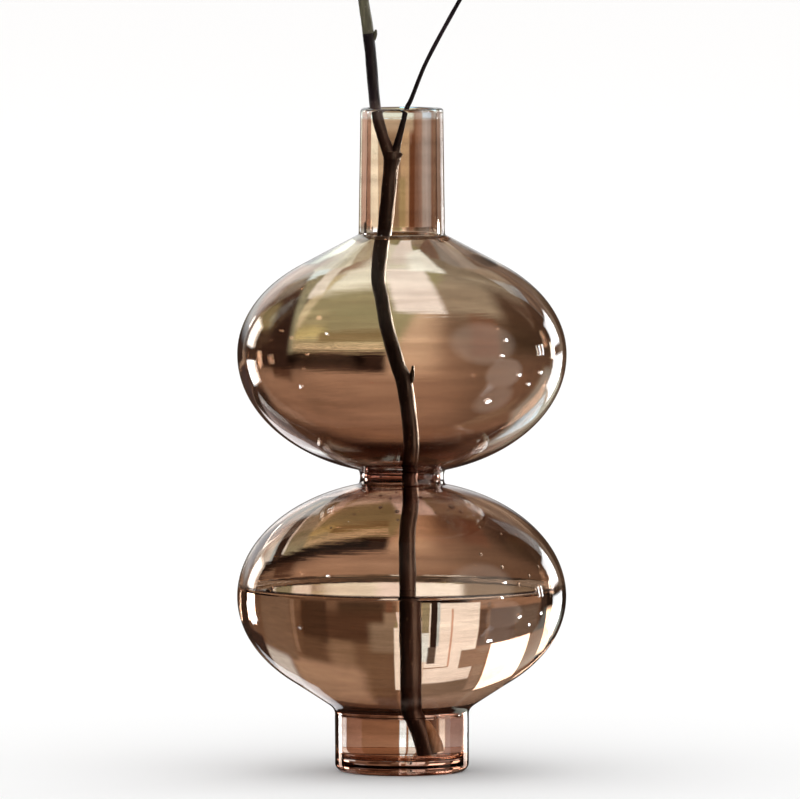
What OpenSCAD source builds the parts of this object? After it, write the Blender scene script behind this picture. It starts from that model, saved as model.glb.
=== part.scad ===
// Blown-glass bud vase: two flattened bulbs, one above the other, joined by a narrow waist,
// on a straight foot and under a straight neck. It stands part full of water with one forked
// twig in it. Millimetres, +Z up, origin at the middle of the face that it stands on.
// The glass is one wall all the way up; each gather that it is fused from is its own node.

/* [Foot] */
// Radius of the foot's outer wall
foot_r = 25.2; // [24.5:0.1:26]
// Height of the foot, up to the seam under the lower bulb
foot_h = 21.8; // [21:0.1:23]
// Thickness of the foot's side wall
foot_wall = 3; // [2.5:0.1:3.5]
// Height of the floor inside the foot
floor_z = 5.2; // [4.5:0.1:5.4]
// Height of the seam between the foot's dished base and its side wall
base_h = 7.6; // [7.2:0.1:8.5]
// Radius of the rounding under the foot's outer edge
foot_round = 3; // [2:0.1:3.5]
// Radius of the hollow under the foot, inside the ring that it stands on
punt_r = 17; // [14:0.5:19]
// Depth of that hollow in the middle
punt_h = 1.4; // [0.6:0.1:2]

/* [Bulbs] */
// Radius of both bulbs at their widest
bulb_r = 62; // [61:0.5:63]
// Thickness of the bulbs' wall
bulb_wall = 2.4; // [2:0.1:2.8]
// Height of the lower bulb's widest line
lower_z = 66; // [65.5:0.1:66.5]
// Height of the lower bulb's curve above its widest line
lower_rise = 43.8; // [43.5:0.1:44.2]
// Depth of the lower bulb's curve below its widest line
lower_drop = 42.8; // [42.5:0.1:43]
// Height of the upper bulb's widest line
upper_z = 157.2; // [156.8:0.1:157.6]
// Height of the upper bulb's curve above its widest line
upper_rise = 42.6; // [42.2:0.1:42.8]
// Depth of the upper bulb's curve below its widest line
upper_drop = 45; // [44.8:0.1:45.2]

/* [Waist and neck] */
// Radius of the waist between the bulbs
waist_r = 15.8; // [15.6:0.1:16]
// Inner radius of the waist
waist_bore_r = 13.3; // [13.2:0.1:13.5]
// Outer radius of the neck where it leaves the upper bulb
neck_r = 16.2; // [16:0.1:16.4]
// Outer radius of the neck under the lip
neck_top_r = 15.6; // [15.4:0.1:15.8]
// Inner radius of the neck at its foot
neck_bore_r = 13.3; // [13.2:0.1:13.5]
// Inner radius of the neck at the lip
mouth_r = 13; // [12.9:0.1:13.1]
// Height of the whole vase
vase_h = 250; // [248:0.5:252]
// Height of the fire-polished lip
lip_h = 3.5; // [3:0.1:4]

/* [Water] */
// Height of the water's surface above the table
water_z = 68.9; // [40:0.1:80]
// Gap kept between the water and what holds it or stands in it
water_gap = 0.3; // [0.2:0.05:0.4]

/* [Hidden] */
$fn = 96;

clear_glass = [0.86, 0.88, 0.84, 0.5];
amber_glass = [0.55, 0.38, 0.27, 0.5];
water_color = [0.62, 0.47, 0.36, 0.5];
bark = [0.16, 0.1, 0.08];
olive_bark = [0.3, 0.27, 0.16];
bare_wood = [0.78, 0.66, 0.5];

// Radius where a bulb's curve meets the waist, and heights of the seams there
flare_r = waist_r + 1.5;
waist_low_z = lower_z + lower_rise * half_chord(flare_r / bulb_r);
waist_high_z = upper_z - upper_drop * half_chord(flare_r / bulb_r);
// Angle below the lower bulb's widest line where its curve becomes a straight cone
cone_deg = 50;
// The cone is this much steeper than the curve where it starts
cone_steepen = 1.12;
// Radius where the cone starts to turn into the foot's side
cone_turn_r = 28;
// Radius of the bore between the lower bulb and the foot, narrower than both
throat_r = 20.8;
// Radius where the upper bulb's curve starts to sweep up into the neck, outside and inside
shoulder_r = 38;
shoulder_bore_r = 35;
// Height where the sweep ends in the neck, and height of the seam in that sweep
neck_z = 204.5;
neck_seam_z = 201.2;
steps = 20;

// ---- curves ----

// For x from 0 to 1, the height of a unit circle at that distance from its middle
function half_chord(x) = sqrt(1 - x * x);

// Points [r, z] on an ellipse about height zc, from angle a0 to a1
function ellipse_arc(rx, rz, zc, a0, a1) =
    [for (i = [0:steps]) let (a = a0 + (a1 - a0) * i / steps) [rx * cos(a), zc + rz * sin(a)]];

// Points on the curve that leaves p0 towards p1 and arrives at p2 from p1
function turn(p0, p1, p2) =
    [for (i = [0:steps]) let (t = i / steps) p0 * (1 - t) * (1 - t) + p1 * 2 * t * (1 - t) + p2 * t * t];

function backwards(points) = [for (i = [len(points) - 1:-1:0]) points[i]];

// The part of an outline that lies above or below height z, cut square at z
function above(points, z) = concat([[radius_at(points, z), z]], [for (p = points) if (p[1] > z + 0.01) p]);
function below(points, z) = concat([for (p = points) if (p[1] < z - 0.01) p], [[radius_at(points, z), z]]);

// Radius of a rising outline at height z
function radius_at(points, z) =
    let (i = [for (k = [0:len(points) - 2]) if (points[k][1] <= z && points[k + 1][1] >= z) k][0],
         p = points[i], q = points[i + 1])
    p[1] == q[1] ? p[0] : p[0] + (q[0] - p[0]) * (z - p[1]) / (q[1] - p[1]);

// ---- outlines of the glass, from the bottom up ----

// Lower bulb from the foot's seam to the waist's seam. in is 0 outside and the wall inside.
function lower_outline(in, foot_side_r, waist_side_r) =
    let (rx = bulb_r - in,
         rz = lower_drop - in,
         start = [rx * cos(cone_deg), lower_z - rz * sin(cone_deg)],
         slope = cone_steepen * rz / rx / tan(cone_deg),
         turn_r = max(cone_turn_r - in, foot_side_r + 1),
         turn_z = start[1] - slope * (start[0] - turn_r),
         corner_z = start[1] - slope * (start[0] - foot_side_r),
         top = acos((waist_side_r + in / 2) / rx))
    concat(turn([foot_side_r, foot_h], [foot_side_r, corner_z], [turn_r, turn_z]),
           ellipse_arc(rx, rz, lower_z, -cone_deg, 0),
           ellipse_arc(rx, lower_rise - in, lower_z, 3, top));

// Upper bulb and the start of the neck. in is 0 outside and the wall inside.
function upper_outline(in, waist_side_r, sweep_r, neck_side_r) =
    let (rx = bulb_r - in,
         rz = upper_rise - in,
         bottom = acos((waist_side_r + in / 2) / rx),
         top = acos(sweep_r / rx),
         start_z = upper_z + rz * sin(top),
         slope = rz / rx / tan(top))
    concat(ellipse_arc(rx, upper_drop - in, upper_z, -bottom, -3),
           ellipse_arc(rx, rz, upper_z, 0, top),
           turn([sweep_r, start_z], [neck_side_r, start_z + slope * (sweep_r - neck_side_r)],
                [neck_side_r, neck_z]));

lower_out = lower_outline(0, foot_r, flare_r);
lower_in = lower_outline(bulb_wall, throat_r, waist_bore_r);
upper_out = upper_outline(0, flare_r, shoulder_r, neck_r);
upper_in = upper_outline(bulb_wall, waist_bore_r, shoulder_bore_r, neck_bore_r);

// A wall turned about Z from its outer and inner outlines, both from the bottom up
module wall(outer, inner) {
    rotate_extrude() polygon(concat(outer, backwards(inner)));
}

// ---- glass ----

module foot_base() {
    in_r = foot_r - foot_wall;
    corner = base_h - floor_z;
    color(amber_glass) rotate_extrude() difference() {
        polygon(concat([[0, punt_h], [punt_r / 2, punt_h * 0.8], [punt_r, 0], [foot_r - foot_round, 0]],
                       [for (a = [-75:15:-15]) [foot_r - foot_round + foot_round * cos(a),
                                                foot_round + foot_round * sin(a)]],
                       [[foot_r, foot_round], [foot_r, base_h], [0, base_h]]));
        translate([0, floor_z]) square([in_r - corner, corner + 1]);
        translate([in_r - corner, floor_z + corner]) circle(corner);
        translate([0, base_h]) square([in_r, 1]);
    }
}

module foot_ring() {
    color(amber_glass) translate([0, 0, base_h]) difference() {
        cylinder(h = foot_h - base_h, r = foot_r);
        translate([0, 0, -1]) cylinder(h = foot_h - base_h + 2, r = foot_r - foot_wall);
    }
}

module lower_bulb() {
    color(amber_glass) wall(concat(lower_out, [[flare_r, waist_low_z]]),
                            concat(lower_in, [[waist_bore_r, waist_low_z]]));
}

module waist_collar() {
    mid_z = (waist_low_z + waist_high_z) / 2;
    color(amber_glass) wall(concat(turn([flare_r, waist_low_z], [waist_r, waist_low_z], [waist_r, mid_z]),
                                   turn([waist_r, mid_z], [waist_r, waist_high_z], [flare_r, waist_high_z])),
                            [[waist_bore_r, waist_low_z], [waist_bore_r, waist_high_z]]);
}

module upper_bulb() {
    color(amber_glass) wall(concat([[flare_r, waist_high_z]], below(upper_out, neck_seam_z)),
                            concat([[waist_bore_r, waist_high_z]], below(upper_in, neck_seam_z)));
}

module neck_tube() {
    top = vase_h - lip_h;
    color(amber_glass) wall(concat(above(upper_out, neck_seam_z), [[neck_top_r, top]]),
                            concat(above(upper_in, neck_seam_z), [[mouth_r, top]]));
}

module rim_lip() {
    lip_r = (neck_top_r - mouth_r) / 2;
    color(clear_glass) rotate_extrude() {
        translate([mouth_r, vase_h - lip_h]) square([2 * lip_r, lip_h - lip_r]);
        translate([mouth_r + lip_r, vase_h - lip_r]) circle(lip_r);
    }
}

// ---- twig ----
// Route points are [x, y, z, r]: the middle of the twig and its radius there.
// They start at the bottom and follow the twig's bends by eye.
cane = [[7.3, 0.2, 6.4, 3.0], [6.6, 0.2, 10, 3.0], [5.4, 0.2, 15, 3.0], [4.0, 0.2, 20, 3.1],
        [3.0, 0.3, 26, 3.1], [2.7, 0.4, 36, 3.1], [2.6, 0.5, 48, 3.1], [2.4, 0.6, 60, 3.1],
        [2.1, 0.8, 76, 3.2], [2.1, 1.0, 90, 3.1], [3.3, 1.1, 101, 3.1], [2.9, 1.2, 112, 3.0],
        [3.6, 1.2, 122, 3.0], [3.1, 1.2, 130, 3.0], [1.9, 1.2, 140, 3.0], [0.8, 1.2, 147, 3.1],
        [-1.1, 1.3, 152, 2.9], [-3.2, 1.4, 159, 2.8], [-5.5, 1.6, 167, 2.7], [-7.5, 1.8, 178, 2.65],
        [-8.9, 2.0, 186, 2.65], [-7.9, 2.0, 196, 2.9], [-6.6, 2.0, 203, 3.0], [-5.3, 2.0, 215, 2.8],
        [-4.1, 2.0, 228, 2.8], [-3.8, 2.0, 231, 3.1], [-3.7, 2.0, 233.5, 3.1]];
heel_end = 4;    // index of the route point where the cut heel ends
spur_at = 15;    // index of the route point at the node half way up
collar_at = 24;  // index of the route point where the fork's collar starts

left = [[-4.7, 2.0, 233, 2.1], [-5.6, 2.0, 236, 2.0], [-6.7, 2.0, 239, 1.95], [-8.8, 2.0, 246, 1.9],
        [-10.1, 2.0, 253, 1.9], [-11.2, 1.8, 266, 1.9], [-12.3, 1.6, 278, 2.0], [-14.2, 1.4, 290, 2.0],
        [-16.6, 1.2, 303, 1.9], [-19.2, 1.0, 316, 1.7]];
left_node_at = 6;

right = [[-2.3, 1.4, 232.8, 1.7], [-1.8, 1.4, 236, 1.5], [0.3, 1.2, 244, 1.1], [1.9, 1.1, 250, 1.0],
         [3.6, 1.0, 253.5, 0.95], [8.6, 0.6, 266, 0.95], [14.8, 0.2, 278, 0.95], [22, 0, 291, 0.95],
         [28.2, 0, 302, 0.9]];

heel_strip = [[10.2, -0.4, 7.4, 2.1], [9.6, -0.4, 10.5, 2.2], [8.2, -0.4, 15, 1.9], [5.8, -0.3, 20.5, 1.0]];
spur = [[2.2, 0.6, 145.5, 1.2], [4.4, 0.2, 147.6, 1.1], [5.0, 0, 150.2, 0.9], [5.2, 0, 153.2, 0.5]];
thorn = [[-1.4, 1.2, 231.6, 0.8], [0.3, 0.9, 232.6, 0.6], [1.0, 0.8, 233.8, 0.25]];
left_node = [[-10.8, 1.5, 275.6, 1.0], [-10.1, 1.4, 277.6, 0.9], [-9.7, 1.4, 279.4, 0.35]];
tip = [[28.2, 0, 302, 1.0], [29.4, 0, 304.2, 1.35], [30.6, 0, 306.6, 1.1], [31.6, 0, 309.4, 0.3]];

twig_sides = 12;
twig_steps = 3;

function point_at(route, i) = route[min(max(i, 0), len(route) - 1)];

// A smooth route through the given points, twig_steps rings to each stretch
function smooth(route) = concat(
    [for (i = [0:len(route) - 2], k = [0:twig_steps - 1])
        let (t = k / twig_steps, a = point_at(route, i - 1), b = route[i], c = route[i + 1],
             d = point_at(route, i + 2))
        (b * 2 + (c - a) * t + (a * 2 - b * 5 + c * 4 - d) * t * t
         + (b * 3 - a - c * 3 + d) * t * t * t) / 2],
    [route[len(route) - 1]]);

function middle(p) = [p[0], p[1], p[2]];

// One ring of the twig's skin about route point i, square to the route there
function ring(route, i, grow) =
    let (ahead = middle(point_at(route, i + 1)) - middle(point_at(route, i - 1)),
         along = ahead / norm(ahead),
         side = cross([0, 1, 0], along) / norm(cross([0, 1, 0], along)),
         front = cross(along, side),
         r = route[i][3] + grow)
    [for (s = [0:twig_sides - 1]) let (a = 360 * s / twig_sides)
        middle(route[i]) + side * (r * cos(a)) + front * (r * sin(a))];

// A solid twig along rings first to last of a smoothed route
module branch(route, first, last, grow = 0) {
    count = last - first + 1;
    n = twig_sides;
    points = [for (i = [first:last]) each ring(route, i, grow)];
    sides = [for (i = [0:count - 2], s = [0:n - 1]) each let (q = (s + 1) % n)
        [[i * n + s, i * n + n + s, i * n + q], [i * n + q, i * n + n + s, i * n + n + q]]];
    bottom = [for (s = [0:n - 1]) s];
    top = [for (s = [n - 1:-1:0]) (count - 1) * n + s];
    polyhedron(points = points, faces = concat([bottom, top], sides));
}

cane_rings = smooth(cane);
left_rings = smooth(left);
right_rings = smooth(right);
strip_rings = smooth(heel_strip);

module whole(route, grow = 0) {
    branch(route, 0, len(route) - 1, grow);
}

module cut_heel() {
    color(bark) branch(cane_rings, 0, heel_end * twig_steps);
}

module heel_wood() {
    color(bare_wood) whole(strip_rings);
}

module lower_cane() {
    color(bark) branch(cane_rings, heel_end * twig_steps, spur_at * twig_steps);
}

module upper_cane() {
    color(bark) branch(cane_rings, spur_at * twig_steps, collar_at * twig_steps);
}

module mid_spur() {
    color(olive_bark) whole(smooth(spur));
}

module fork_collar() {
    color(bark) branch(cane_rings, collar_at * twig_steps, len(cane_rings) - 1);
}

module fork_thorn() {
    color(bark) whole(smooth(thorn));
}

module left_branch() {
    color(bark) branch(left_rings, 0, left_node_at * twig_steps);
}

module left_bud() {
    color(olive_bark) whole(smooth(left_node));
}

module left_branch_tip() {
    color(olive_bark) branch(left_rings, left_node_at * twig_steps, len(left_rings) - 1);
}

module right_shoot() {
    color(bark) whole(right_rings);
}

module shoot_tip() {
    color(olive_bark) whole(smooth(tip));
}

// ---- water ----

// Fills the foot and the lower bulb to its surface, a little clear of the glass and the twig
module water() {
    in_r = foot_r - foot_wall - water_gap;
    corner = base_h - floor_z;
    pool = below([for (p = lower_in) [p[0] - water_gap, p[1]]], water_z);
    low = floor_z + water_gap;
    color(water_color) difference() {
        rotate_extrude() polygon(concat([[0, low], [in_r - corner, low], [in_r, low + corner],
                                         [in_r, foot_h - water_gap],
                                         [throat_r - water_gap, foot_h - water_gap]],
                                        pool, [[0, water_z]]));
        branch(cane_rings, 0, 10 * twig_steps, water_gap);
        translate([0, 0, -3]) branch(cane_rings, 0, twig_steps, water_gap);
        whole(strip_rings, water_gap);
        translate([0, 0, -3]) whole(strip_rings, water_gap);
    }
}

foot_base();
foot_ring();
lower_bulb();
waist_collar();
upper_bulb();
neck_tube();
rim_lip();
water();
cut_heel();
heel_wood();
lower_cane();
upper_cane();
mid_spur();
fork_collar();
fork_thorn();
left_branch();
left_bud();
left_branch_tip();
right_shoot();
shoot_tip();
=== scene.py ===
"""Looks of a blown-glass bud vase: two flattened bulbs, a waist, a foot and a neck, with water and a twig.

The glass is one turned wall. Its outer skin is clear and its inner skin carries a brown lustre film.
Every piece but the droplets stands for one CAD node, and the glass takes its sizes from the nodes' boxes.
"""

import math

import bmesh
import bpy
import numpy as np
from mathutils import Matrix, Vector, noise


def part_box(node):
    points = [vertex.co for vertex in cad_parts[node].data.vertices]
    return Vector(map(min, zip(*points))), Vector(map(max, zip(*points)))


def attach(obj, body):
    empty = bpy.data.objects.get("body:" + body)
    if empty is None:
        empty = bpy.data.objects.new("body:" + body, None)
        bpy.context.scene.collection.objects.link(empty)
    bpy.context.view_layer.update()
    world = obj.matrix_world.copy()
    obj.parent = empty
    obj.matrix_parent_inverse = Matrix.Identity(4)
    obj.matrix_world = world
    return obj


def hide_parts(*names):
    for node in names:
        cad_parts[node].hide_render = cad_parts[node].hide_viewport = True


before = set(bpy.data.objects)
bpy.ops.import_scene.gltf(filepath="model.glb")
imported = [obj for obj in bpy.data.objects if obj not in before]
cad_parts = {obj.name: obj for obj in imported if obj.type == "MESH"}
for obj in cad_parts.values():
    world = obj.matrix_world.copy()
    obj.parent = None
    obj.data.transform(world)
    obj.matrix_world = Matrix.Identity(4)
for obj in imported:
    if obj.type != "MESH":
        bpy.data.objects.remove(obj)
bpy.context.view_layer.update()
MM = 0.001

# ---------------------------------------------------------------- sizes, from the frame
BULB_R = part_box("upper_bulb")[1].x
FOOT_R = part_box("foot_ring")[1].x
BASE_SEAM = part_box("foot_ring")[0].z
FOOT_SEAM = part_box("foot_ring")[1].z
WAIST_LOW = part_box("waist_collar")[0].z
WAIST_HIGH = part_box("waist_collar")[1].z
FLARE_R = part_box("waist_collar")[1].x
NECK_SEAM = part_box("neck_tube")[0].z
LIP_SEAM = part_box("rim_lip")[0].z
VASE_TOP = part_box("rim_lip")[1].z
LIP_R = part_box("rim_lip")[1].x
WATER_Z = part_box("water")[1].z
WATER_GAP = 0.3 * MM
FLOOR_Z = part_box("water")[0].z - WATER_GAP

# Sizes that the boxes don't give
BULB_WALL = 2.4 * MM
FOOT_WALL = 3.0 * MM
FOOT_ROUND = 3.0 * MM
PUNT_R = 17.0 * MM
PUNT_H = 1.4 * MM
LOWER_Z = 66.0 * MM
LOWER_DROP = 42.8 * MM
LOWER_RISE = 43.8 * MM
UPPER_Z = 157.2 * MM
UPPER_DROP = 45.0 * MM
UPPER_RISE = 42.6 * MM
CONE_DEG = 50
CONE_STEEPEN = 1.12
CONE_TURN_R = 28.0 * MM
THROAT_R = 20.8 * MM
WAIST_R = FLARE_R - 1.5 * MM
WAIST_BORE_R = 13.3 * MM
SHOULDER_R = 38.0 * MM
SHOULDER_BORE_R = 35.0 * MM
NECK_R = 16.2 * MM
NECK_BORE_R = 13.3 * MM
NECK_Z = 202.4 * MM
NECK_BORE_Z = 200.9 * MM
MOUTH_R = 13.0 * MM
BARE_LIP = 4.0 * MM

# Where the water meets the glass, and its still surface away from the glass
MENISCUS = 1.2 * MM
CONTACT_Z = WATER_Z + MENISCUS
STILL_Z = WATER_Z - 0.4 * MM
SKIN_GAP = 0.02 * MM

GLASS_IOR = 1.5
WATER_IOR = 1.333
AROUND = 160


# ---------------------------------------------------------------- outlines [r, z]
def arc(rx, rz, centre, start, end, count=60):
    """Points on an ellipse about centre, from angle start to end in degrees."""
    a = np.radians(np.linspace(start, end, count))
    return np.column_stack([centre[0] + rx * np.cos(a), centre[1] + rz * np.sin(a)])


def turn(p0, p1, p2, count=40):
    """Points on the curve that leaves p0 towards p1 and arrives at p2 from p1."""
    t = np.linspace(0, 1, count)[:, None]
    return np.array(p0) * (1 - t) ** 2 + np.array(p1) * 2 * t * (1 - t) + np.array(p2) * t * t


def lower_outline(wall, foot_side, waist_side):
    """The lower bulb from the foot's seam to the waist's. wall is how far inside the outer skin it lies."""
    rx, rz = BULB_R - wall, LOWER_DROP - wall
    cone = math.radians(CONE_DEG)
    start = (rx * math.cos(cone), LOWER_Z - rz * math.sin(cone))
    slope = CONE_STEEPEN * rz / rx / math.tan(cone)
    turn_r = max(CONE_TURN_R - wall, foot_side + MM)
    corner = (foot_side, start[1] - slope * (start[0] - foot_side))
    turned = (turn_r, start[1] - slope * (start[0] - turn_r))
    top = math.degrees(math.acos((waist_side + wall / 2) / rx))
    return np.vstack([
        turn((foot_side, FOOT_SEAM), corner, turned),
        arc(rx, rz, (0, LOWER_Z), -CONE_DEG, 0),
        arc(rx, LOWER_RISE - wall, (0, LOWER_Z), 1, top),
    ])


def upper_outline(wall, waist_side, sweep, neck_side, neck_z):
    """The upper bulb from the waist's seam, and its sweep up into the neck."""
    rx, rz = BULB_R - wall, UPPER_RISE - wall
    bottom = math.degrees(math.acos((waist_side + wall / 2) / rx))
    top = math.acos(sweep / rx)
    start_z = UPPER_Z + rz * math.sin(top)
    slope = rz / rx / math.tan(top)
    corner = (neck_side, start_z + slope * (sweep - neck_side))
    return np.vstack([
        arc(rx, UPPER_DROP - wall, (0, UPPER_Z), -bottom, -1),
        arc(rx, rz, (0, UPPER_Z), 0, math.degrees(top)),
        turn((sweep, start_z), corner, (neck_side, neck_z)),
    ])


def outer_outline():
    """The vase's outer skin, from the middle of the hollow under the foot up to the lip."""
    mid = (WAIST_LOW + WAIST_HIGH) / 2
    return np.vstack([
        turn((0, PUNT_H), (PUNT_R * 0.7, PUNT_H), (PUNT_R, 0)),
        arc(FOOT_ROUND, FOOT_ROUND, (FOOT_R - FOOT_ROUND, FOOT_ROUND), -90, 0),
        lower_outline(0, FOOT_R, FLARE_R),
        turn((FLARE_R, WAIST_LOW), (WAIST_R, WAIST_LOW), (WAIST_R, mid)),
        turn((WAIST_R, mid), (WAIST_R, WAIST_HIGH), (FLARE_R, WAIST_HIGH)),
        upper_outline(0, FLARE_R, SHOULDER_R, NECK_R, NECK_Z),
        [(LIP_R, LIP_SEAM)],
    ])


def inner_outline():
    """The cavity's skin, from the middle of its floor up to the lip."""
    side = FOOT_R - FOOT_WALL
    corner = BASE_SEAM - FLOOR_Z
    return np.vstack([
        [(0, FLOOR_Z)],
        arc(corner, corner, (side - corner, FLOOR_Z + corner), -90, 0),
        [(side, FOOT_SEAM - MM)],
        turn((side, FOOT_SEAM - MM), (side, FOOT_SEAM), (THROAT_R, FOOT_SEAM)),
        lower_outline(BULB_WALL, THROAT_R, WAIST_BORE_R),
        [(WAIST_BORE_R, WAIST_LOW), (WAIST_BORE_R, WAIST_HIGH)],
        upper_outline(BULB_WALL, WAIST_BORE_R, SHOULDER_BORE_R, NECK_BORE_R, NECK_BORE_Z),
        [(MOUTH_R, LIP_SEAM)],
    ])


def evenly(path, gap):
    """The path as points a small gap apart."""
    keep = np.r_[True, np.linalg.norm(np.diff(path, axis=0), axis=1) > 1e-9]
    path = path[keep]
    along = np.r_[0, np.cumsum(np.linalg.norm(np.diff(path, axis=0), axis=1))]
    at = np.linspace(0, along[-1], int(along[-1] / gap) + 1)
    return np.column_stack([np.interp(at, along, path[:, k]) for k in range(path.shape[1])])


def eased(path, gap, radius):
    """An even path with its corners rounded over about the given radius, and its ends kept."""
    count = max(1, int(radius / gap))
    weight = np.hanning(2 * count + 3)[1:-1]
    weight /= weight.sum()
    ends = [2 * path[0] - path[count:0:-1], 2 * path[-1] - path[-2:-count - 2:-1]]
    padded = np.vstack([ends[0], path, ends[1]])
    smooth = [np.convolve(padded[:, k], weight, mode="same") for k in range(path.shape[1])]
    return np.column_stack(smooth)[count:-count]


def thinned(path, keep, longest, sharpest):
    """Row numbers to keep, so that no stretch is longer than longest or turns more than sharpest degrees."""
    step = np.diff(path, axis=0)
    length = np.linalg.norm(step, axis=1)
    heading = np.unwrap(np.arctan2(step[:, 1], step[:, 0]))
    rows, last = [0], 0
    for i in range(1, len(path) - 1):
        far = length[last:i + 1].sum() > longest
        bent = abs(heading[i] - heading[last]) > math.radians(sharpest)
        if far or bent or i in keep:
            rows.append(i)
            last = i
    return np.array(rows + [len(path) - 1])


# ---------------------------------------------------------------- meshes from rows of rings
def turned_grid(path, wobble):
    """Rings of points round Z along a path. wobble(angle, z) is how far out the hand-blown wall strays."""
    angle = np.linspace(0, 2 * math.pi, AROUND, endpoint=False)[None, :]
    r, z = path[:, :1], path[:, 1:2]
    out = wobble(angle, z) * np.minimum(1, r / FOOT_R)
    reach = r + out
    return np.stack([reach * np.cos(angle), reach * np.sin(angle), z + 0 * angle], axis=2)


def grid_normals(grid):
    """The direction that each point of a grid faces, smooth across the whole grid."""
    up = np.gradient(grid, axis=0)
    round_ = np.roll(grid, -1, axis=1) - np.roll(grid, 1, axis=1)
    facing = np.cross(round_, up)
    size = np.linalg.norm(facing, axis=2, keepdims=True)
    for row in (0, -1):
        if size[row].max() < 1e-12:
            beside = facing[1 if row == 0 else -2].mean(axis=0)
            facing[row], size[row] = beside, np.linalg.norm(beside)
    return facing / np.maximum(size, 1e-15)


def grid_mesh(name, grid, spans, slot_of, materials, fan=False):
    """A closed mesh from spans of rows of a grid of rings.

    Each span's end is bridged to the next span's start, unless the ring there is a single point.
    With fan, every ring at a span's end is closed across its middle instead. The faces that bridge or close
    it have the last material.
    """
    normals = grid_normals(grid)
    around = grid.shape[1]
    points, faces, slots, facing = [], [], [], []
    index = {}

    def ring(row):
        if row not in index:
            flat = np.ptp(grid[row], axis=0).max() < 1e-9
            start = len(points)
            count = 1 if flat else around
            points.extend(grid[row][:count])
            index[row] = [start + (0 if flat else j) for j in range(around)]
        return index[row]

    def band(row_a, row_b, slot, own=None):
        a, b = ring(row_a), ring(row_b)
        for j in range(around):
            k = (j + 1) % around
            corners = []
            for corner in [(a[j], row_a, j), (a[k], row_a, k), (b[k], row_b, k), (b[j], row_b, j)]:
                if corner[0] not in [c[0] for c in corners]:
                    corners.append(corner)
            if len(corners) > 2:
                faces.append([c[0] for c in corners])
                slots.append(slot)
                facing.extend(own if own is not None else normals[c[1], c[2]] for c in corners)

    def lid(row, sign, slot):
        rim = ring(row)
        middle = len(points)
        points.append(grid[row].mean(axis=0))
        turn_round = np.cross(grid[row, 0] - points[middle], grid[row, 1] - points[middle])
        own = sign * turn_round / np.linalg.norm(turn_round)
        for j in range(around):
            k = (j + 1) % around
            faces.append([middle, rim[j], rim[k]] if sign > 0 else [middle, rim[k], rim[j]])
            slots.append(slot)
            facing.extend([own] * 3)

    for first, last in spans:
        for row in range(first, last):
            band(row, row + 1, slot_of(row))
    if fan:
        for first, last in spans:
            lid(first, -1, len(materials) - 1)
            lid(last, 1, len(materials) - 1)
    else:
        for (_, end), (start, _) in zip(spans, spans[1:] + spans[:1]):
            if len(set(ring(end))) > 1 and len(set(ring(start))) > 1:
                middle = np.cross(grid[end, 1] - grid[end, 0], grid[start, 0] - grid[end, 0])
                band(end, start, len(materials) - 1, middle / np.linalg.norm(middle))

    mesh = bpy.data.meshes.new(name)
    mesh.from_pydata([tuple(p) for p in points], [], faces)
    for material in materials:
        mesh.materials.append(material)
    mesh.polygons.foreach_set("material_index", slots)
    mesh.polygons.foreach_set("use_smooth", [True] * len(faces))
    mesh.normals_split_custom_set([tuple(n) for n in facing])
    piece = bpy.data.objects.new(name, mesh)
    bpy.context.scene.collection.objects.link(piece)
    return piece


def stand_for(piece, body, slot, *nodes):
    """The piece moves with a body and replaces CAD nodes. Its slot is not used."""
    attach(piece, body)
    if nodes:
        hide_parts(*nodes)
    return piece


# ---------------------------------------------------------------- materials
class Nodes:
    """A short way to add and join shader nodes."""

    def __init__(self, owner):
        self.tree = owner.node_tree
        self.tree.nodes.clear()

    def add(self, kind, inputs=None, **settings):
        node = self.tree.nodes.new(kind)
        for key, value in settings.items():
            setattr(node, key, value)
        for key, value in (inputs or {}).items():
            self.feed(node.inputs[key], value)
        return node

    def feed(self, socket, value):
        if isinstance(value, bpy.types.NodeSocket):
            self.tree.links.new(value, socket)
        else:
            socket.default_value = value

    def calc(self, operation, *values):
        return self.add("ShaderNodeMath", dict(enumerate(values)), operation=operation).outputs[0]

    def ramp(self, factor, stops):
        node = self.add("ShaderNodeValToRGB", {"Fac": factor})
        while len(node.color_ramp.elements) < len(stops):
            node.color_ramp.elements.new(0.5)
        for element, (at, color) in zip(node.color_ramp.elements, sorted(stops)):
            element.position = at
            element.color = (*color, 1)
        return node.outputs["Color"]

    def noise(self, where, scale, stretch=(1, 1, 1), detail=3.0, roughness=0.5):
        mapping = self.add("ShaderNodeMapping", {"Vector": where, "Scale": stretch})
        node = self.add("ShaderNodeTexNoise", {
            "Vector": mapping.outputs["Vector"], "Scale": scale,
            "Detail": detail, "Roughness": roughness,
        })
        return node.outputs["Fac"]

    def mix(self, factor, a, b, blend="MIX"):
        node = self.add("ShaderNodeMix", data_type="RGBA", blend_type=blend)
        self.feed(node.inputs[0], factor)
        self.feed(node.inputs[6], a)
        self.feed(node.inputs[7], b)
        return node.outputs[2]

    def between(self, value, low, high, to_low=0.0, to_high=1.0):
        node = self.add("ShaderNodeMapRange", {
            "Value": value, "From Min": low, "From Max": high, "To Min": to_low, "To Max": to_high,
        })
        return node.outputs["Result"]

    def bump(self, height, strength, distance):
        node = self.add("ShaderNodeBump", {"Height": height, "Strength": strength, "Distance": distance})
        return node.outputs["Normal"]


def new_material(name, kind="ShaderNodeBsdfPrincipled"):
    """A material with one shader, its nodes' helper and the object's own coordinates."""
    material = bpy.data.materials.new(name)
    material.use_nodes = True
    nodes = Nodes(material)
    shader = nodes.add(kind)
    output = nodes.add("ShaderNodeOutputMaterial")
    nodes.feed(output.inputs["Surface"], shader.outputs["BSDF"])
    place = nodes.add("ShaderNodeTexCoord").outputs["Object"]
    return material, nodes, shader, place


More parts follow.
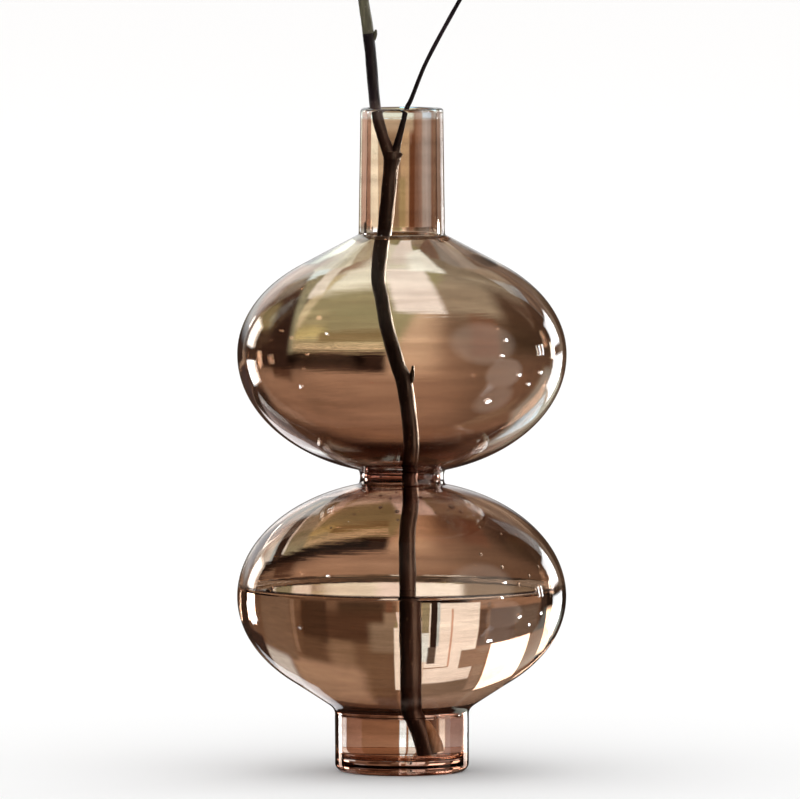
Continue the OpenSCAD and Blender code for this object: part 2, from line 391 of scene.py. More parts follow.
def height_of(nodes, place):
    return nodes.add("ShaderNodeSeparateXYZ", {"Vector": place}).outputs["Z"]


def blown_skin(nodes, place):
    """Fine level lines left by turning the gather in its mould, and a slow ripple, as a bent normal."""
    fine = nodes.noise(place, 1.0, (12, 12, 900), detail=4.0, roughness=0.6)
    slow = nodes.noise(place, 1.0, (40, 40, 160), detail=2.0)
    return nodes.bump(nodes.mix(0.7, fine, slow), 0.13, 0.1 * MM)


# What the film lets through, by height as a share of the vase's height, for light that crosses it twice.
# Besides the film's own brown, some of its narrow dark bands are painted shade, as marked below.
FILM_BANDS = [
    # Painted shade along the base's bottom edge
    (0.00, (0.18, 0.08, 0.055)),
    (0.015, (0.22, 0.10, 0.065)),
    (0.021, (0.62, 0.38, 0.27)),
    (0.045, (0.54, 0.30, 0.205)),
    (0.06, (0.44, 0.23, 0.15)),
    (0.09, (0.42, 0.21, 0.14)),
    (0.11, (0.18, 0.08, 0.05)),
    (0.13, (0.44, 0.26, 0.18)),
    (0.25, (0.44, 0.28, 0.19)),
    (0.33, (0.52, 0.36, 0.26)),
    (0.355, (0.40, 0.23, 0.15)),
    (0.405, (0.38, 0.21, 0.14)),
    # Painted shade: a dark band just below the waist, then the waist and the upper bulb's floor, darkest at
    # 0.479
    (0.413, (0.14, 0.06, 0.04)),
    (0.419, (0.32, 0.16, 0.10)),
    (0.433, (0.30, 0.14, 0.09)),
    (0.443, (0.22, 0.075, 0.048)),
    (0.465, (0.14, 0.038, 0.024)),
    (0.479, (0.05, 0.016, 0.010)),
    (0.4835, (0.36, 0.20, 0.135)),
    (0.51, (0.47, 0.30, 0.21)),
    (0.60, (0.47, 0.31, 0.22)),
    (0.70, (0.58, 0.44, 0.33)),
    (0.78, (0.62, 0.48, 0.36)),
    (0.798, (0.64, 0.48, 0.36)),
    (0.802, (1.00, 0.88, 0.76)),
    (0.815, (1.00, 0.88, 0.76)),
    (0.820, (0.54, 0.34, 0.235)),
    (1.00, (0.62, 0.43, 0.32)),
]


def clear_glass_material():
    """Clear blown glass."""
    material, nodes, shader, place = new_material("clear_glass")
    shader.inputs["Base Color"].default_value = (0.985, 0.995, 0.985, 1)
    shader.inputs["Transmission Weight"].default_value = 1.0
    shader.inputs["IOR"].default_value = GLASS_IOR
    shader.inputs["Roughness"].default_value = 0.0
    nodes.feed(shader.inputs["Normal"], blown_skin(nodes, place))
    return material


def film_glass_material(name, ior):
    """Glass under a brown lustre film, some of whose height bands are painted shade, with a painted dark
    waterline stripe of shade where the water meets it, strongest at the front, and a bare lip.
    """
    material, nodes, shader, place = new_material(name, "ShaderNodeBsdfGlass")
    split = nodes.add("ShaderNodeSeparateXYZ", {"Vector": place}).outputs
    height = split["Z"]
    band = nodes.ramp(nodes.between(height, 0, VASE_TOP), FILM_BANDS)
    streak = nodes.between(nodes.noise(place, 1.0, (14, 14, 220), detail=5.0), 0.35, 0.7, 0.0, 0.35)
    streaked = nodes.mix(streak, band, (0.30, 0.17, 0.11, 1), "MULTIPLY")
    cloud = nodes.between(nodes.noise(place, 22.0, detail=3.0), 0.35, 0.65)
    clouded = nodes.mix(cloud, streaked, (1.40, 1.45, 1.50, 1), "MULTIPLY")
    # Painted shade: a dark stripe where the water's surface meets the glass, full on the front half and faint
    # behind
    off_line = nodes.calc("ABSOLUTE", nodes.calc("SUBTRACT", height, CONTACT_Z))
    front = nodes.between(split["Y"], -0.02, 0.02, 1.0, 0.1)
    waterline_shade = nodes.calc("MULTIPLY", nodes.between(off_line, 0.3 * MM, 0.65 * MM, 1.0, 0.0), front)
    waterline_shaded = nodes.mix(waterline_shade, clouded, (0.02, 0.01, 0.008, 1))
    lip = VASE_TOP - BARE_LIP
    bare = nodes.mix(nodes.between(height, lip - 0.4 * MM, lip + 0.4 * MM), waterline_shaded, (0.95, 0.96, 0.94, 1))
    tint = nodes.add("ShaderNodeGamma", {"Color": bare, "Gamma": 0.5}).outputs["Color"]
    nodes.feed(shader.inputs["Color"], tint)
    shader.inputs["IOR"].default_value = ior
    shader.inputs["Roughness"].default_value = 0.0
    nodes.feed(shader.inputs["Normal"], blown_skin(nodes, place))
    return material


def contact_material():
    """The water's skin against the glass, which isn't seen: the glass's skin bends the light for both."""
    material, _, shader, _ = new_material("wet_contact")
    shader.inputs["Alpha"].default_value = 0.0
    return material


def water_material():
    """Clear, faintly warm water with a slow ripple."""
    material, nodes, shader, place = new_material("still_water")
    shader.inputs["Transmission Weight"].default_value = 1.0
    shader.inputs["IOR"].default_value = WATER_IOR
    shader.inputs["Roughness"].default_value = 0.0
    shader.inputs["Base Color"].default_value = (0.99, 0.985, 0.97, 1)
    ripple = nodes.noise(place, 40.0, detail=1.0)
    nodes.feed(shader.inputs["Normal"], nodes.bump(ripple, 0.1, 0.2 * MM))
    return material


def bark_material(name, dark, mid, light, gloss, dark_above=None):
    """Twig bark: long ridges, pale lenticels and darker hollows. It turns nearly black above dark_above."""
    material, nodes, shader, place = new_material(name)
    ridges = nodes.noise(place, 1.0, (900, 900, 120), detail=5.0, roughness=0.65)
    patches = nodes.noise(place, 90.0, (1, 1, 0.5), detail=3.0)
    spots = nodes.add("ShaderNodeTexVoronoi", {"Vector": place, "Scale": 420.0})
    lenticel = nodes.between(spots.outputs["Distance"], 0.08, 0.20, 0.55, 0.0)
    base = nodes.ramp(ridges, [(0.3, dark), (0.55, mid), (0.8, light)])
    worn = nodes.mix(nodes.between(patches, 0.45, 0.75, 0.0, 0.6), base, (*light, 1))
    color = nodes.mix(lenticel, worn, (0.16, 0.12, 0.09, 1))
    if dark_above:
        # Above the given height the bark is made much darker and less glossy
        darkened = nodes.between(height_of(nodes, place), dark_above, dark_above + 4 * MM)
        color = nodes.mix(darkened, color, nodes.mix(1.0, color, (0.20, 0.16, 0.30, 1), "MULTIPLY"))
        nodes.feed(shader.inputs["Specular IOR Level"], nodes.between(darkened, 0.0, 1.0, 0.5, 0.22))
    nodes.feed(shader.inputs["Base Color"], color)
    nodes.feed(shader.inputs["Roughness"], nodes.between(patches, 0.3, 0.7, gloss, gloss + 0.25))
    height = nodes.mix(0.35, ridges, lenticel)
    nodes.feed(shader.inputs["Normal"], nodes.bump(height, 0.8, 0.25 * MM))
    return material


def wood_material():
    """Bare, torn wood: pale with long fibres."""
    material, nodes, shader, place = new_material("bare_wood")
    fibres = nodes.noise(place, 1.0, (1500, 1500, 160), detail=5.0, roughness=0.7)
    tints = [(0.3, (0.34, 0.22, 0.13)), (0.55, (0.62, 0.47, 0.32)), (0.8, (0.80, 0.68, 0.50))]
    base = nodes.ramp(fibres, tints)
    nodes.feed(shader.inputs["Base Color"], base)
    shader.inputs["Roughness"].default_value = 0.7
    nodes.feed(shader.inputs["Normal"], nodes.bump(fibres, 0.9, 0.3 * MM))
    return material


# Dark, middle and light colours, and how rough the smoothest parts are
BARK = ((0.010, 0.005, 0.005), (0.036, 0.018, 0.016), (0.110, 0.062, 0.050), 0.30)
OLIVE_BARK = ((0.022, 0.018, 0.010), (0.062, 0.054, 0.026), (0.15, 0.132, 0.07), 0.34)

clear_glass = clear_glass_material()
thick_glass = film_glass_material("thick_foot_glass", GLASS_IOR)
film_glass = film_glass_material("lustre_film_glass", GLASS_IOR)
wet_film_glass = film_glass_material("lustre_film_under_water", GLASS_IOR / WATER_IOR)
wet_contact = contact_material()
still_water = water_material()
bark = bark_material("bark", *BARK)
olive_bark = bark_material("olive_bark", *OLIVE_BARK)
branch_bark = bark_material("branch_bark", *BARK, dark_above=0.2495)
shoot_bark = bark_material("shoot_bark", *BARK, dark_above=0.232)
bare_wood = wood_material()


# ---------------------------------------------------------------- glass
PATH_GAP = 0.1 * MM
CORNER_R = 0.7 * MM
LONGEST_ROW = 1.5 * MM
SHARPEST_ROW = 4.0
AXIS_ROWS = 40
SEAMS = {
    "base": BASE_SEAM,
    "foot": FOOT_SEAM,
    "waterline": CONTACT_Z,
    "waist_low": WAIST_LOW,
    "waist_high": WAIST_HIGH,
    "neck": NECK_SEAM,
    "lip": LIP_SEAM,
}
GLASS_PIECES = [
    ("foot_base", None, "base"),
    ("foot_ring", "base", "foot"),
    ("lower_bulb", "foot", "waist_low"),
    ("waist_collar", "waist_low", "waist_high"),
    ("upper_bulb", "waist_high", "neck"),
    ("neck_tube", "neck", "lip"),
    ("rim_lip", "lip", None),
]


def wall_stray(angle, z):
    """How far the hand-blown wall strays from round, in metres."""
    slow = np.sin(2 * angle + 0.7) * np.sin(38 * z + 0.4) + 0.6 * np.sin(3 * angle + 45 * z + 2.0)
    fine = np.sin(7 * angle + 160 * z) * np.sin(5 * angle - 230 * z + 1.0)
    return (0.10 * slow + 0.018 * fine) * MM


def glass_path():
    """The wall's whole outline, out over the lip and down to the cavity's floor, with its seam rows."""
    lip_r = (LIP_R - MOUTH_R) / 2
    lip = arc(lip_r, lip_r, (MOUTH_R + lip_r, VASE_TOP - lip_r), 0, 180, 40)
    whole = evenly(np.vstack([outer_outline(), lip, inner_outline()[::-1]]), PATH_GAP)
    whole = eased(whole, PATH_GAP, CORNER_R)
    whole[0, 0] = whole[-1, 0] = 0
    top = int(whole[:, 1].argmax())
    sides = [np.arange(AXIS_ROWS, top), np.arange(top, len(whole) - AXIS_ROWS)]
    seams = {}
    for label, z in SEAMS.items():
        seams[label] = [side[np.abs(whole[side, 1] - z).argmin()] for side in sides]
    keep = {row for pair in seams.values() for row in pair}
    rows = thinned(whole, keep, LONGEST_ROW, SHARPEST_ROW)
    place = {old: new for new, old in enumerate(rows)}
    return whole[rows], {label: (place[a], place[b]) for label, (a, b) in seams.items()}


path, seam_rows = glass_path()
glass_grid = turned_grid(path, wall_stray)
GLASS_MATERIALS = [clear_glass, film_glass, wet_film_glass, thick_glass]
CLEAR, FILM, WET_FILM, THICK = range(4)


def glass_slot(row):
    """Which of the glass materials a row of the wall has."""
    # The base's outer skin takes the film material too, so the film's darkest bands paint shade along its
    # bottom edge
    if row < seam_rows["base"][0]:
        return THICK
    if row < seam_rows["lip"][1]:
        return CLEAR
    return WET_FILM if row >= seam_rows["waterline"][1] else FILM


def make_glass():
    """The wall, cut into the CAD model's pieces at its seams."""
    last = len(path) - 1
    for node, low, high in GLASS_PIECES:
        out_low, in_low = seam_rows[low] if low else (0, last)
        if high:
            out_high, in_high = seam_rows[high]
            spans = [(out_low, out_high), (in_high, in_low)]
        else:
            spans = [(out_low, in_low)]
        piece = grid_mesh(node + "_glass", glass_grid, spans, glass_slot, GLASS_MATERIALS)
        stand_for(piece, "vase", "clear_glass" if node == "rim_lip" else "amber_glass", node)


def make_water():
    """The water's own surface with its rise at the glass, and the skin where it touches the glass."""
    contact = seam_rows["waterline"][1]
    wall = path[contact:]
    reach = wall[0, 0]
    r = reach * (1 - np.linspace(1, 0, 60) ** 1.5)
    rise = (CONTACT_Z - STILL_Z) * np.exp(-(reach - r) / MENISCUS)
    surface = np.column_stack([r, STILL_Z + rise])
    skin = wall[1:] - np.array([[SKIN_GAP, 0]]) * (wall[1:, :1] > MM)
    whole = np.vstack([surface, skin])
    grid = turned_grid(whole, wall_stray)
    piece = grid_mesh("water_body", grid, [(0, len(whole) - 1)], lambda row: int(row >= len(surface)),
                      [still_water, wet_contact])
    stand_for(piece, "vase", "water", "water")


# Droplets left on the cavity's skin above the water: azimuth in degrees (0 is the front), height and radius
# in millimetres
DROPLETS = [
    (-14, 101.0, 0.8), (-9, 103.5, 0.5), (-3, 99.5, 0.9), (-2, 96.5, 0.55), (9, 102.2, 0.5), (16, 103.6, 0.8),
    (20, 99.0, 0.5), (24, 96.2, 0.7), (29, 99.4, 0.5), (34, 101.0, 1.3), (37, 98.6, 0.9), (40, 94.0, 0.6),
    (45, 96.0, 0.5), (50, 90.5, 0.6), (33, 85.0, 0.7), (41, 80.5, 0.8), (-28, 98.0, 0.6), (-36, 94.0, 0.5),
    (-20, 104.0, 0.7), (47, 73.5, 0.9), (54, 75.5, 0.7), (58, 72.6, 0.8), (62, 78.5, 0.6), (-6, 105.2, 0.6),
]
# A bead's bulge and its middle's distance off the glass, and its length, as shares of its radius
BULGE, SEAT, SAG = 0.55, 0.12, 1.15


def make_droplets():
    """Small flat-backed beads of water, sat on the cavity's skin."""
    inner = path[seam_rows["waist_low"][1]:seam_rows["waterline"][1] + 1]
    verts, faces = [], []
    around, rings = 18, 7
    for azimuth, height, radius in DROPLETS:
        at = np.abs(inner[:, 1] - height * MM).argmin()
        at = min(max(at, 1), len(inner) - 2)
        turned = math.radians(azimuth)
        out = Vector((math.sin(turned), -math.cos(turned), 0))
        slope = inner[at + 1] - inner[at - 1]
        along = (out * slope[0] + Vector((0, 0, slope[1]))).normalized()
        side = out.cross(Vector((0, 0, 1))).normalized()
        inward = along.cross(side).normalized()
        if inward.dot(out) > 0:
            inward = -inward
        centre = out * (inner[at, 0] + wall_stray(math.atan2(out.y, out.x), inner[at, 1]))
        centre += Vector((0, 0, inner[at, 1])) + inward * (0.05 * MM)
        first = len(verts)
        for i in range(1, rings):
            rise = math.pi * i / rings
            for j in range(around):
                a = 2 * math.pi * j / around
                depth = BULGE if math.cos(rise) > 0 else SEAT
                spot = side * math.cos(a) * math.sin(rise) + along * math.sin(a) * math.sin(rise) * SAG
                verts.append(centre + (spot + inward * (depth * math.cos(rise) + SEAT)) * radius * MM)
        top, bottom = len(verts), len(verts) + 1
        verts.append(centre + inward * ((BULGE + SEAT) * radius * MM))
        verts.append(centre)
        for j in range(around):
            k = (j + 1) % around
            faces.append((top, first + j, first + k))
            low = first + (rings - 2) * around
            faces.append((bottom, low + k, low + j))
            for i in range(rings - 2):
                row = first + i * around
                faces.append((row + j, row + around + j, row + around + k, row + k))
    mesh = bpy.data.meshes.new("droplets")
    mesh.from_pydata(verts, [], faces)
    mesh.materials.append(still_water)
    mesh.polygons.foreach_set("use_smooth", [True] * len(mesh.polygons))
    beads = bpy.data.objects.new("droplets", mesh)
    bpy.context.scene.collection.objects.link(beads)
    fix_normals(beads)
    stand_for(beads, "vase", "water")


def fix_normals(thing):
    """Turns every face of a closed mesh outwards."""
    mesh = bmesh.new()
    mesh.from_mesh(thing.data)
    bmesh.ops.recalc_face_normals(mesh, faces=mesh.faces)
    mesh.to_mesh(thing.data)
    mesh.free()


# ---------------------------------------------------------------- twig
# Route points [x, y, z, radius] in millimetres. They lie within about 0.5 mm of the CAD model's, apart from
# the thorn's point.
CANE = [[7.3, 0.2, 6.4, 3.0], [6.6, 0.2, 10, 3.0], [5.4, 0.2, 15, 3.0], [4.0, 0.2, 20, 3.1],
        [3.0, 0.3, 26, 3.1], [2.7, 0.4, 36, 3.1], [2.6, 0.5, 48, 3.1], [2.4, 0.6, 60, 3.1],
        [2.1, 0.8, 76, 3.2], [2.1, 1.0, 90, 3.1], [3.3, 1.1, 101, 3.1], [2.9, 1.2, 112, 3.0],
        [3.6, 1.2, 122, 3.0], [3.1, 1.2, 130, 3.0], [1.9, 1.2, 140, 3.0], [0.8, 1.2, 147, 3.1],
        [-1.1, 1.3, 152, 2.9], [-3.2, 1.4, 159, 2.8], [-5.5, 1.6, 167, 2.7], [-7.5, 1.8, 178, 2.65],
        [-8.9, 2.0, 186, 2.65], [-7.9, 2.0, 196, 2.9], [-6.6, 2.0, 203, 3.0], [-5.3, 2.0, 215, 2.95],
        [-4.1, 2.0, 228, 3.0], [-3.8, 2.0, 231, 3.4], [-3.7, 2.0, 233.5, 3.3]]
LEFT = [[-4.9, 2.0, 232.6, 2.5], [-6.1, 2.0, 236, 2.35], [-7.2, 2.0, 239, 2.2], [-9.2, 2.0, 246, 2.15],
        [-10.3, 2.0, 253, 2.15], [-11.4, 1.8, 266, 2.15], [-12.6, 1.6, 278, 2.15], [-14.4, 1.4, 290, 2.0],
        [-16.6, 1.2, 303, 1.9], [-19.2, 1.0, 316, 1.7]]
RIGHT = [[-2.3, 1.4, 232.8, 1.7], [-1.8, 1.4, 236, 1.5], [0.3, 1.2, 244, 1.1], [1.9, 1.1, 250, 0.95],
         [3.6, 1.0, 253.5, 0.85], [8.6, 0.6, 266, 0.8], [14.8, 0.2, 278, 0.8], [22, 0, 291, 0.8],
         [28.2, 0, 302, 0.85]]
STRIP = [[10.2, -0.4, 7.4, 2.1], [9.6, -0.4, 10.5, 2.2], [8.2, -0.4, 15, 1.9], [5.8, -0.3, 20.5, 1.0]]
SPUR = [[2.0, 0.6, 145.5, 1.3], [3.4, 0.2, 147.4, 1.15], [3.9, 0, 149.6, 0.9], [4.2, 0, 152.8, 0.5]]
THORN = [[-1.4, 1.2, 231.6, 0.9], [-0.5, 1.0, 232.2, 0.7], [0.0, 0.9, 232.8, 0.4]]
LEFT_NODE = [[-10.8, 1.5, 275.6, 1.0], [-10.1, 1.4, 277.6, 0.9], [-9.7, 1.4, 279.4, 0.35]]
TIP = [[28.2, 0, 302, 1.0], [29.4, 0, 304.2, 1.35], [30.6, 0, 306.6, 1.1], [31.6, 0, 309.4, 0.3]]
# The points where the cane and the left branch are cut into sub-parts
HEEL_END, SPUR_AT, COLLAR_AT, LEFT_NODE_AT = 4, 15, 24, 6


def smooth_route(route, gap):
    """A smooth route through the given points, in metres, and the row where each of those points lies."""
    route = np.array(route, float) * MM
    padded = np.vstack([route[:1], route, route[-1:]])
    rows, marks = [], []
    for i in range(len(route) - 1):
        a, b, c, d = padded[i:i + 4]
        steps = max(2, int(np.linalg.norm(c[:3] - b[:3]) / gap))
        marks.append(len(rows))
        for t in np.arange(steps) / steps:
            curve = (b * 2 + (c - a) * t + (a * 2 - b * 5 + c * 4 - d) * t ** 2
                     + (b * 3 - a - c * 3 + d) * t ** 3) / 2
            rows.append(curve)
    marks.append(len(rows))
    rows.append(route[-1])
    return np.array(rows), marks


def bark_relief(point, across, thick):
    """How far bark stands out at a point of a twig: long ridges, warts and slow lumps."""
    ridge = noise.noise(Vector((across[0] * 5, across[1] * 5, point[2] / (9 * MM))))
    grain = noise.noise(Vector((across[0] * 11, across[1] * 11, point[2] / (3.5 * MM) + 20)))
    lump = noise.noise(Vector(point) / (6 * MM) + Vector((3, 7, 1)))
    return thick * (0.045 * ridge + 0.03 * grain + 0.05 * lump)


def twig_grid(route, sides=36):
    """Rings of skin along a route, square to it, with bark relief."""
    rows = []
    for i in range(len(route)):
        ahead = route[min(i + 1, len(route) - 1), :3] - route[max(i - 1, 0), :3]
        along = ahead / np.linalg.norm(ahead)
        side = np.cross([0, 1, 0], along)
        side /= np.linalg.norm(side)
        front = np.cross(along, side)
        centre, thick = route[i, :3], route[i, 3]
        ring = []
        for j in range(sides):
            a = 2 * math.pi * j / sides
            out = side * math.cos(a) + front * math.sin(a)
            relief = bark_relief(centre + out * thick, (math.cos(a), math.sin(a)), thick)
            ring.append(centre + out * (thick + relief))
        rows.append(ring)
    return np.array(rows)


def make_twig():
    """The twig's pieces, each standing for one CAD node."""
    pieces = []
    cane, cane_at = smooth_route(CANE, 0.9 * MM)
    left, left_at = smooth_route(LEFT, 0.9 * MM)
    right, _ = smooth_route(RIGHT, 0.9 * MM)
    cane_grid, left_grid, right_grid = twig_grid(cane), twig_grid(left), twig_grid(right, 20)
    cuts = [
        ("cut_heel", cane_grid, 0, cane_at[HEEL_END], bark, "bark"),
        ("lower_cane", cane_grid, cane_at[HEEL_END], cane_at[SPUR_AT], bark, "bark"),
        ("upper_cane", cane_grid, cane_at[SPUR_AT], cane_at[COLLAR_AT], bark, "bark"),
        ("fork_collar", cane_grid, cane_at[COLLAR_AT], len(cane) - 1, bark, "bark"),
        ("left_branch", left_grid, 0, left_at[LEFT_NODE_AT], branch_bark, "bark"),
        ("left_branch_tip", left_grid, left_at[LEFT_NODE_AT], len(left) - 1, olive_bark, "olive_bark"),
        ("right_shoot", right_grid, 0, len(right) - 1, shoot_bark, "bark"),
    ]
    for node, grid, first, last, skin, slot in cuts:
        piece = grid_mesh(node + "_bark", grid, [(first, last)], lambda row: 0, [skin, bare_wood], fan=True)
        pieces.append(stand_for(piece, "stem", slot, node))
    small = [
        ("heel_wood", STRIP, bare_wood, "bare_wood"),
        ("mid_spur", SPUR, olive_bark, "olive_bark"),
        ("fork_thorn", THORN, bark, "bark"),
        ("left_bud", LEFT_NODE, olive_bark, "olive_bark"),
        ("shoot_tip", TIP, olive_bark, "olive_bark"),
    ]
    for node, route, skin, slot in small:
        grid = twig_grid(smooth_route(route, 0.3 * MM)[0], 20)
        piece = grid_mesh(node + "_piece", grid, [(0, len(grid) - 1)], lambda row: 0, [skin, skin], fan=True)
        pieces.append(stand_for(piece, "stem", slot, node))
    return pieces


make_glass()
make_water()
make_droplets()
twig_pieces = make_twig()

# ---------------------------------------------------------------- stage, light and camera
CAMERA_AT = Vector((-0.0007, -4.0, 0.387))
AIM_AT = Vector((-0.0007, 0, 0.1402))
FRAME_WIDTH = 0.3012
SENSOR = 36.0


def make_camera():
    """The photograph's view, slightly from above."""
    data = bpy.data.cameras.new("camera")
    camera = bpy.data.objects.new("camera", data)
    bpy.context.scene.collection.objects.link(camera)
    sight = AIM_AT - CAMERA_AT
    camera.location = CAMERA_AT
    camera.rotation_euler = sight.to_track_quat("-Z", "Y").to_euler()
    data.sensor_width = SENSOR
    data.lens = SENSOR * sight.length / FRAME_WIDTH
    data.clip_end = 200
    bpy.context.scene.camera = camera


def make_floor():
    """A wide, plain pale floor, which also is the whole backdrop at the camera's low angle."""
    material, _, shader, _ = new_material("pale_floor")
    shader.inputs["Base Color"].default_value = (0.93, 0.93, 0.93, 1)
    shader.inputs["Roughness"].default_value = 0.9
    shader.inputs["Specular IOR Level"].default_value = 0.0
    bpy.ops.mesh.primitive_circle_add(vertices=64, radius=60, fill_type="NGON", location=(0, 0, 0))
    floor = bpy.context.object
    floor.name = "floor"
    floor.data.materials.append(material)
    floor.visible_glossy = False
    floor.visible_transmission = False


def soft_step(nodes, value, low, high, before=0, after=1):
    """A smooth change from before to after as the value goes from low to high."""
    node = nodes.add("ShaderNodeMapRange", {
        "Value": value, "From Min": low, "From Max": high, "To Min": before, "To Max": after,
    }, interpolation_type="SMOOTHSTEP")
    return node.outputs["Result"]


def soft_box(nodes, across, up, box, blur, lean=0.0):
    """1 inside a box (left, right, low, high) and 0 outside it, with a soft edge. lean slants its sides."""
    left, right, low, high = box
    if lean:
        across = nodes.calc("MULTIPLY_ADD", nodes.calc("SUBTRACT", up, low), -lean, across)
    mask = None
    sides = [(across, left, 0, 1), (across, right, 1, 0), (up, low, 0, 1), (up, high, 1, 0)]
    for value, edge, before, after in sides:
        step = soft_step(nodes, value, edge - blur, edge + blur, before, after)
        mask = step if mask is None else nodes.calc("MULTIPLY", mask, step)
    return mask


def soft_disc(nodes, direction, azimuth, elevation, radius, blur):
    """1 within a radius in degrees of a direction and 0 beyond it, with a soft edge."""
    a, e = math.radians(azimuth), math.radians(elevation)
    centre = (math.sin(a) * math.cos(e), math.cos(a) * math.cos(e), math.sin(e))
    near = nodes.add("ShaderNodeVectorMath", {0: direction, 1: centre}, operation="DOT_PRODUCT")
    low = math.cos(math.radians(radius + blur))
    high = math.cos(math.radians(max(radius - blur, 0)))
    return soft_step(nodes, near.outputs["Value"], low, high)


def painted(nodes, across, up, base, patches):
    """A colour laid down in soft boxes, the later ones over the earlier ones."""
    color = base
    for _, box, blur, tint, *lean in patches:
        color = nodes.mix(soft_box(nodes, across, up, box, blur, *lean), color, (*tint, 1))
    return color


# The room that the glass mirrors: boxes of azimuth and elevation in degrees. Azimuth 0 is behind the vase.
MIRRORED_BASE = (0.030, 0.020, 0.015)
MIRRORED = [
    ("ceiling", (-180, 180, 45, 95), 15, (0.12, 0.10, 0.08)),
    ("tabletop", (-180, 180, -95, -25), 12, (0.05, 0.03, 0.022)),
    ("far_wall", (-34, 7, 4, 26), 4, (0.90, 0.92, 0.94)),
    ("pale_tabletop", (20, 60, -40, -9), 3, (0.85, 0.88, 0.76)),
    ("white_tabletop", (-21, -8, -32, -17.5), 1.5, (1.2, 1.2, 1.25)),
    ("garden_window", (-24, -10, 17, 40), 3, (1.3, 1.35, 1.3)),
    ("left_pane_low", (-52, -40, -16, -4.8), 1.0, (9, 9, 9)),
    ("left_pane_high", (-50, -38, 3, 17), 1.2, (5.5, 5.2, 4.8)),
    ("right_pane_low", (27, 47, -18, -2), 1.2, (6, 6, 6)),
    ("right_pane_high", (31, 47, 3, 17), 1.2, (6, 6, 6)),
    ("right_slit_a", (62, 63.5, 0, 8), 0.4, (16, 16, 16)),
    ("right_slit_b", (66, 67.5, 0, 8), 0.4, (14, 14, 14)),
    ("side_doorway", (104, 111, -40, 30), 1.5, (2.2, 2.2, 2.2)),
]

# Round, out-of-focus shapes that the glass mirrors: azimuth, elevation, radius, softness and colour
MIRRORED_DISCS = [
    (117, 20, 24, 5, (1.0, 0.9, 0.8)),
    (101, -15, 15, 2.5, (1.1, 1.0, 0.9)),
    (94, -40, 12, 4, (0.9, 0.8, 0.7)),
    (97, 20, 1.1, 0.5, (70, 70, 70)),
    (105, 4, 1.0, 0.5, (70, 70, 70)),
    (86, -16, 1.1, 0.5, (60, 60, 60)),
    (97, -43, 1.6, 0.8, (50, 50, 50)),
    (71, -22, 0.9, 0.4, (50, 50, 50)),
    (62, -12, 0.9, 0.4, (50, 50, 50)),
    (-118, 33, 0.9, 0.4, (40, 40, 40)),
    (-96, -28, 0.9, 0.4, (40, 40, 40)),
]

# What shines through the glass from beyond the painted wall, in the same degrees
BEYOND_BASE = (0.26, 0.17, 0.12)
BEYOND = [
    ("ceiling", (-180, 180, 40, 95), 15, (0.55, 0.45, 0.36)),
    ("tabletop", (-180, 180, -95, -20), 10, (0.12, 0.07, 0.045)),
    ("front_right", (120, 181, -60, 60), 20, (0.22, 0.15, 0.11)),
    ("front_left", (-181, -120, -60, 60), 20, (0.22, 0.15, 0.11)),
    ("left_pane_low", (-62, -45, -16, -4.8), 1.0, (5, 5, 5)),
    ("left_pane_high", (-62, -45, 3, 17), 1.2, (3, 2.8, 2.6)),
    ("right_window", (46, 57, -6, 14), 1.0, (12, 12, 12)),
]

